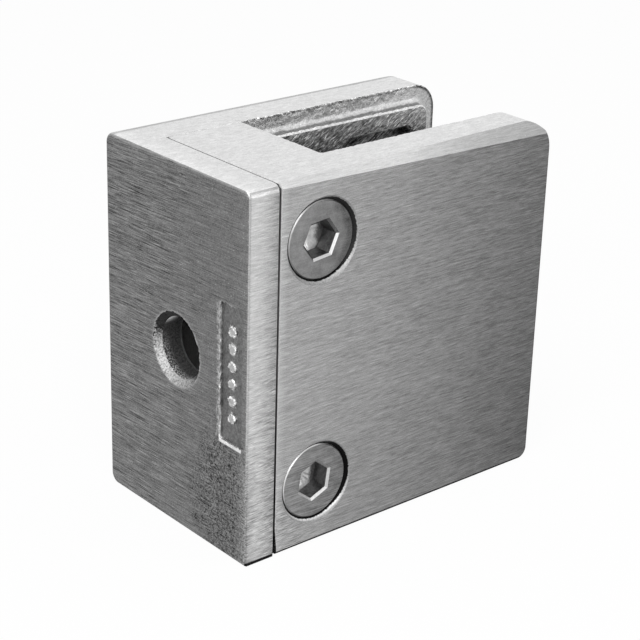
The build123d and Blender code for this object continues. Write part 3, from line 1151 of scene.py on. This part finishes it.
def between_jaws(centre):
    """Whether a point lies between the jaws' inner faces, pockets included."""
    return front_seat_y - POCKET_DEPTH < centre.y < back_seat_y + POCKET_DEPTH


def in_slot(face):
    """Whether a face belongs to the slot, and not to the flat faces that the slot opens into."""
    centre = face.calc_center_median()
    normal = face.normal
    if centre.x < slot_x - EPSILON or not between_jaws(centre):
        return False
    flat_end = abs(normal.z) > FLAT and abs(abs(centre.z) - part_high.z) < EPSILON
    open_end = normal.x > FLAT and abs(centre.x - part_high.x) < EPSILON
    return not flat_end and not open_end


def slot_finish(face):
    """The name of the finish that a face in the slot has."""
    centre = face.calc_center_median()
    nearest = min((front_seat_y, back_seat_y), key=lambda seat_y: abs(centre.y - seat_y))
    beyond = abs(centre.y) > abs(nearest) + EPSILON
    on_seat = abs(centre.y - nearest) < POCKET_DEPTH / 4 and abs(face.normal.y) > SEAT_FLATNESS
    in_pocket = beyond and inside(centre, POCKET_LOW, POCKET_HIGH)
    return "seat" if on_seat or in_pocket else "cast"


def finish_of(face):
    """The name of the finish that a face of a casting has."""
    if in_slot(face):
        return slot_finish(face)
    centre = face.calc_center_median()
    normal = face.normal
    from_bore = math.hypot(centre.y, centre.z)
    if from_bore < bore_radius + BORE_CHAMFER and centre.x > EPSILON:
        return "chamfer" if normal.x < -FACING else "bore"
    if inside(centre, STRIP_LOW, STRIP_HIGH):
        return "sunk"
    from_screws = min(from_axis(centre, screw_place) for screw_place in screw_places)
    if from_screws < COUNTERSINK_RADIUS and abs(normal.y) < FLAT:
        return "countersink"
    outer = outer_axis(centre, normal)
    from_block = block_x - centre.x
    if outer is None:
        in_gap = -EPSILON < from_block < SEAM_GAP + EPSILON
        in_seam = in_gap and abs(normal.x) > SEAM_FLATNESS
        return "seam" if in_seam else "bore"
    if outer == (0, -1):
        return "mounting"
    return "ground" if outer[0] == 2 else "brushed"


def cut_slot(mesh, sizes):
    """Cuts the slot's faces into cells, with finer ones near the outer faces."""
    low = Vector((slot_x, front_seat_y - POCKET_DEPTH, part_low.z))
    high = Vector((part_high.x, back_seat_y + POCKET_DEPTH, part_high.z))

    def near_rim(face):
        """Whether a face of the slot lies near its top, its bottom or its open end."""
        centre = face.calc_center_median()
        height = part_high.z - abs(centre.z)
        return min(part_high.x - centre.x, height) < sizes.rim_reach and in_slot(face)

    crossing = [
        face
        for face in mesh.faces
        if abs(face.normal.z) < FLAT and between_jaws(face.calc_center_median())
    ]
    bisect(mesh, crossing, 0, slot_x)
    cut_grid(mesh, [face for face in mesh.faces if in_slot(face)], low, high, sizes.first_cells)
    subdivide(mesh, in_slot, sizes.cells)
    subdivide(mesh, near_rim, sizes.rim_cells)


def cut_mark(mesh, low, high, sizes):
    """Cuts the mounting face, and what is let into it, into fine cells within a box."""

    def in_mark(face):
        """Whether a face of the mounting side lies in the box."""
        return face.normal.x < 0.5 and inside(face.calc_center_median(), low, high)

    near = [
        face
        for face in mesh.faces
        if face.calc_center_median().x < STRIP_HIGH.x and face.normal.x < 0.5
    ]
    cut_grid(mesh, near, low, high, sizes.first_cells)
    subdivide(mesh, in_mark, sizes.rim_cells)


def roughen(mesh, sizes):
    """Cuts up the cast surfaces and marks on the mesh what the relief may move."""
    cut_slot(mesh, sizes)
    reach = bore_radius + BORE_CHAMFER + sizes.torn_width
    cut_mark(
        mesh,
        Vector((-EPSILON, -reach, -reach)),
        Vector((BORE_CHAMFER + EPSILON, reach, reach)),
        sizes,
    )
    cut_mark(mesh, Vector((-EPSILON, STRIP_LOW.y, STRIP_LOW.z)), STRIP_HIGH, sizes)
    finish = mesh.faces.layers.int.new("finish")
    for face in mesh.faces:
        face[finish] = CAST_FINISHES.index(finish_of(face))
        face.smooth = True
    mark_masks(mesh, finish, sizes)


def free_way(vert, finish):
    """The way that a corner may move: out of the rough faces, within the outer faces it touches."""
    shortest = 0.2
    outer = [CAST_FINISHES[face[finish]] in OUTER_FINISHES for face in vert.link_faces]
    way = Vector((0, 0, 0))
    for face, is_outer in zip(vert.link_faces, outer):
        if not is_outer:
            way += face.normal
    for face, is_outer in zip(vert.link_faces, outer):
        if is_outer:
            way -= way.dot(face.normal) * face.normal
    return way.normalized() if way.length > shortest else Vector((0, 0, 0))


def torn_rims(mesh, finish, sizes):
    """Marks all sharp edges, and returns a search tree of those that are torn."""
    middles = []
    for edge in mesh.edges:
        if len(edge.link_faces) != 2:
            continue
        corner = edge.calc_face_angle_signed(0)
        edge.smooth = abs(corner) < SHARP_ANGLE
        middle = (edge.verts[0].co + edge.verts[1].co) / 2
        clear_of_block = not STRIP_HIGH.x < middle.x < slot_x + 3 * sizes.torn_width
        rough = any(CAST_FINISHES[face[finish]] not in OUTER_FINISHES for face in edge.link_faces)
        if corner > TORN_ANGLE and rough and clear_of_block:
            middles.append(middle)
    tree = KDTree(len(middles))
    for number, middle in enumerate(middles):
        tree.insert(middle, number)
    tree.balance()
    return tree


def mark_masks(mesh, finish, sizes):
    """Writes how much each corner may move, how torn it is, and along which way."""
    cast = mesh.verts.layers.float.new("cast")
    torn = mesh.verts.layers.float.new("torn")
    way = mesh.verts.layers.float_vector.new("way")
    rims = torn_rims(mesh, finish, sizes)
    for vert in mesh.verts:
        names = {CAST_FINISHES[face[finish]] for face in vert.link_faces}
        in_hollow = bool(names & SLOT_FINISHES) and names <= SLOT_FINISHES | OUTER_FINISHES
        if in_hollow or vert.co.x < STRIP_HIGH.x:
            from_end = part_high.x - vert.co.x
            calm = min(1.0, max(0.0, 2 * from_end / sizes.calm_end - 1))
            vert[way] = free_way(vert, finish) * calm
            vert[cast] = float(in_hollow)
            vert[torn] = max(0.0, 1 - rims.find(vert.co)[2] / sizes.torn_width) ** 2


def make_casting(name, node, torn_share):
    """A casting that stands for its node, with its skin roughened and its finishes set."""
    sizes = bpy.context.scene.clamp_casting
    mesh = copy_node(node)
    roughen(mesh, sizes)
    piece = new_piece(name, mesh)
    values = {
        "Relief": sizes.relief,
        "Grain": sizes.grain,
        "Torn edge": sizes.torn_edge * torn_share,
        "Seed": sizes.seed,
        "Lowest": tuple(part_low),
        "Highest": tuple(part_high),
    }
    add_tree(piece, relief_tree(steel_materials(CAST_FINISHES)), values)
    even_shading(piece)
    make_plain(piece)
    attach(piece, node)
    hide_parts(node)


def screw_finish(face, screw_place):
    """The name of the finish that a face of a screw has."""
    centre = face.calc_center_median()
    depth = centre.y - screw_place.y
    forwards = face.normal.y < -FACING
    if from_axis(centre, screw_place) < SOCKET_RADIUS and EPSILON < depth < SOCKET_REACH:
        return "mouth" if depth < SOCKET_CHAMFER and forwards else "socket"
    return "head" if forwards else "thread"


def make_thread(name, start, end, sizes):
    """The threaded stretch of a screw, round the Y axis."""
    thread = new_piece(name, bmesh.new())
    values = {
        "Radius": sizes.shank_radius,
        "Depth": sizes.depth,
        "Pitch": sizes.pitch,
        "Start": start,
        "End": end,
        "Sides": sizes.sides,
    }
    add_tree(thread, thread_tree(steel_materials(["thread"])[0]), values)
    make_plain(thread)
    return thread


def make_screw(name, node, screw_place):
    """A screw that stands for its node, with its thread cut."""
    sizes = bpy.context.scene.clamp_screws
    start = screw_place.y + sizes.thread_start
    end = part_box(node)[1].y - sizes.tip_length
    thread = make_thread(name + "_thread", start, end, sizes)
    mesh = copy_node(node)
    bisect(mesh, mesh.faces[:], 1, start)
    bisect(mesh, mesh.faces[:], 1, end)
    shank = [
        face
        for face in mesh.faces
        if start < face.calc_center_median().y < end
        and from_axis(face.verts[0].co, screw_place) > THREAD_ROOT
    ]
    bmesh.ops.delete(mesh, geom=shank, context="FACES")
    thread.data.transform(Matrix.Translation((screw_place.x, 0, screw_place.z)))
    mesh.from_mesh(thread.data)
    bpy.data.objects.remove(thread)
    for at in (start, end):
        rims = [
            edge
            for edge in mesh.edges
            if edge.is_boundary and all(abs(vert.co.y - at) < EPSILON for vert in edge.verts)
        ]
        bmesh.ops.bridge_loops(mesh, edges=rims)
    bmesh.ops.recalc_face_normals(mesh, faces=mesh.faces)
    for face in mesh.faces:
        face.smooth = True
        face.material_index = SCREW_FINISHES.index(screw_finish(face, screw_place))
    for edge in mesh.edges:
        edge.smooth = edge.is_boundary or edge.calc_face_angle(0) < SCREW_SHARP_ANGLE
    piece = new_piece(name, mesh)
    for material in steel_materials(SCREW_FINISHES):
        piece.data.materials.append(material)
    even_shading(piece)
    make_plain(piece)
    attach(piece, node)
    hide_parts(node)


def paper_white(tree, lit, strength=1.0):
    """White where it is seen, reflected or refracted, and the lit surface for all other light."""
    path = tree.nodes.new("ShaderNodeLightPath").outputs
    seen = add_math(tree, "MAXIMUM", path["Is Camera Ray"], path["Is Glossy Ray"])
    seen = add_math(tree, "MAXIMUM", seen, path["Is Transmission Ray"])
    share = add_math(tree, "MULTIPLY", seen, strength)
    white = add_node(tree, "ShaderNodeEmission", {"Strength": 1.0})
    return add_node(tree, "ShaderNodeMixShader", {0: share, 1: lit, 2: white.outputs[0]}).outputs[0]


def bare_material(name):
    """A material with an output and nothing else, and its tree."""
    material = bpy.data.materials.new(name)
    material.use_nodes = True
    tree = material.node_tree
    tree.nodes.remove(tree.nodes["Principled BSDF"])
    return material, tree


def make_floor(sizes):
    """A pale floor under the clamp that keeps its shadow."""
    mesh = bmesh.new()
    bmesh.ops.create_grid(mesh, x_segments=1, y_segments=1, size=sizes.floor_side / 2)
    bmesh.ops.translate(mesh, verts=mesh.verts, vec=(0, 0, part_low.z))
    floor = new_piece("floor", mesh)
    material, tree = bare_material("Pale floor")
    lit = add_node(tree, "ShaderNodeBsdfDiffuse", {"Color": (*sizes.floor_tone, 1)}).outputs[0]
    tree.links.new(paper_white(tree, lit, sizes.floor_white), tree.nodes["Material Output"].inputs[0])
    floor.data.materials.append(material)


def make_reflected_shade(sizes):
    """Painted shade seen only in reflections: a card to the right that darkens the front faces, and a patch under
    the clamp as a painted contact shadow.
    """
    right_per_forward = 0.886
    columns = {0.0: 0.0, sizes.card_fade: sizes.card_depth, sizes.card_width: sizes.card_depth}
    mesh = bmesh.new()
    shade = mesh.verts.layers.float.new("shade")
    sides = []
    for across, depth in columns.items():
        ends = []
        for away in (0.0, sizes.card_reach):
            right = across + right_per_forward * away
            vert = mesh.verts.new((right, part_low.y - away, part_low.z + sizes.card_rise))
            vert[shade] = depth
            ends.append(vert)
        sides.append(ends)
    for left, right in zip(sides, sides[1:]):
        mesh.faces.new((left[0], left[1], right[1], right[0]))
    # Painted contact shadow under the clamp, seen in its rounded lower edges.
    corners = [(x, y) for x in (part_low.x, part_high.x) for y in (part_low.y, part_high.y)]
    under = [mesh.verts.new((x, y, part_low.z + sizes.card_rise / 10)) for x, y in corners]
    for vert in under:
        vert[shade] = 1.0
    mesh.faces.new((under[0], under[1], under[3], under[2]))
    card = new_piece("dark_card", mesh)
    material, tree = bare_material("Dark card")
    clear = tree.nodes.new("ShaderNodeBsdfTransparent").outputs[0]
    dark = add_node(tree, "ShaderNodeEmission", {"Strength": 0.0}).outputs[0]
    depth = add_node(tree, "ShaderNodeAttribute", attribute_name="shade").outputs["Fac"]
    mixed = add_node(tree, "ShaderNodeMixShader", {0: depth, 1: clear, 2: dark}).outputs[0]
    tree.links.new(mixed, tree.nodes["Material Output"].inputs[0])
    card.data.materials.append(material)
    card.visible_camera = False
    card.visible_diffuse = False
    card.visible_shadow = False
    card.visible_transmission = False


def make_world(sizes):
    """Soft light from all round, white where it is seen or reflected."""
    world = bpy.data.worlds.new("White surround")
    world.use_nodes = True
    tree = world.node_tree
    lit = tree.nodes["Background"]
    lit.inputs["Color"].default_value = (1, 1, 1, 1)
    lit.inputs["Strength"].default_value = sizes.surround
    tree.links.new(paper_white(tree, lit.outputs[0]), tree.nodes["World Output"].inputs[0])
    bpy.context.scene.world = world


def make_lamp(name, way, size, watts):
    """A soft rectangular lamp that faces the clamp's middle."""
    middle = (part_low + part_high) / 2
    data = bpy.data.lights.new(name, "AREA")
    data.shape = "RECTANGLE"
    data.size, data.size_y = size
    data.energy = watts
    lamp = bpy.data.objects.new(name, data)
    lamp.location = middle + way
    lamp.rotation_euler = (middle - lamp.location).to_track_quat("-Z", "Y").to_euler()
    bpy.context.scene.collection.objects.link(lamp)


def make_camera(sizes):
    """The camera at the picture's viewing angle."""
    azimuth, elevation, roll = sizes.camera_azimuth, sizes.camera_elevation, sizes.camera_roll
    ahead = Vector((
        math.sin(azimuth) * math.cos(elevation),
        math.cos(azimuth) * math.cos(elevation),
        math.sin(elevation),
    ))
    level = Vector((ahead.y, -ahead.x, 0)).normalized()
    right = math.cos(roll) * level + math.sin(roll) * level.cross(ahead)
    up = right.cross(ahead)
    data = bpy.data.cameras.new("camera")
    data.lens = sizes.camera_lens
    data.sensor_width = 36.0
    data.clip_start = 0.005
    data.clip_end = 20.0
    camera = bpy.data.objects.new("camera", data)
    turn = Matrix((right, up, -ahead)).transposed().to_4x4()
    camera.matrix_world = Matrix.Translation(sizes.camera_place) @ turn
    bpy.context.scene.collection.objects.link(camera)
    bpy.context.scene.camera = camera


class CLAMP_OT_back_half(bpy.types.Operator):
    """Makes the casting with the end wall and the back jaw"""

    bl_idname = "clamp.back_half"
    bl_label = "Back half"

    def execute(self, context):
        make_casting("back_casting", "back_half", 1.0)
        return {"FINISHED"}


class CLAMP_OT_front_half(bpy.types.Operator):
    """Makes the casting with the front jaw and the block"""

    bl_idname = "clamp.front_half"
    bl_label = "Front half"

    def execute(self, context):
        make_casting("front_casting", "front_half", context.scene.clamp_casting.front_share)
        return {"FINISHED"}


class CLAMP_OT_screws(bpy.types.Operator):
    """Makes the two countersunk screws with their threads"""

    bl_idname = "clamp.screws"
    bl_label = "Screws"

    def execute(self, context):
        for joint, screw_place in zip(hinges, screw_places):
            node = joint["child"]
            make_screw(node.replace("_screw", "_socket_screw"), node, screw_place)
        return {"FINISHED"}


class CLAMP_OT_stage(bpy.types.Operator):
    """Makes the floor, the surround, the lamps and the camera"""

    bl_idname = "clamp.stage"
    bl_label = "Stage"

    def execute(self, context):
        sizes = context.scene.clamp_stage
        context.scene.view_settings.view_transform = "Standard"
        make_camera(sizes)
        make_floor(sizes)
        make_reflected_shade(sizes)
        make_world(sizes)
        make_lamp("key_lamp", sizes.key_way, (sizes.key_side, sizes.key_side), sizes.key_power)
        side_size = (sizes.side_width, sizes.side_height)
        make_lamp("side_lamp", sizes.side_way, side_size, sizes.side_power)
        return {"FINISHED"}


OPERATORS = (CLAMP_OT_stage, CLAMP_OT_back_half, CLAMP_OT_front_half, CLAMP_OT_screws)
SETTINGS = {
    "clamp_casting": ClampCastingSizes,
    "clamp_tones": ClampSteelTones,
    "clamp_screws": ClampScrewSizes,
    "clamp_stage": ClampStageSizes,
}


class CLAMP_PT_panel(bpy.types.Panel):
    """Lists the pieces of the clamp and their sizes"""

    bl_idname = "CLAMP_PT_panel"
    bl_label = "Panel Clamp"
    bl_space_type = "VIEW_3D"
    bl_region_type = "UI"
    bl_category = "Panel Clamp"

    def draw(self, context):
        for operator in OPERATORS:
            self.layout.operator(operator.bl_idname)
        for name, group in SETTINGS.items():
            box = self.layout.box()
            settings = getattr(context.scene, name)
            for size in group.__annotations__:
                box.prop(settings, size)


def register():
    """Registers the settings, the operators and the panel."""
    for group in (*SETTINGS.values(), *OPERATORS, CLAMP_PT_panel):
        bpy.utils.register_class(group)
    for name, group in SETTINGS.items():
        setattr(bpy.types.Scene, name, PointerProperty(type=group))


def unregister():
    """Takes away what register added."""
    for name in SETTINGS:
        delattr(bpy.types.Scene, name)
    for group in (CLAMP_PT_panel, *reversed(OPERATORS), *reversed(SETTINGS.values())):
        bpy.utils.unregister_class(group)


def main():
    """Makes the whole clamp."""
    register()
    bpy.ops.clamp.stage()
    bpy.ops.clamp.back_half()
    bpy.ops.clamp.front_half()
    bpy.ops.clamp.screws()


if __name__ == "__main__":
    main()
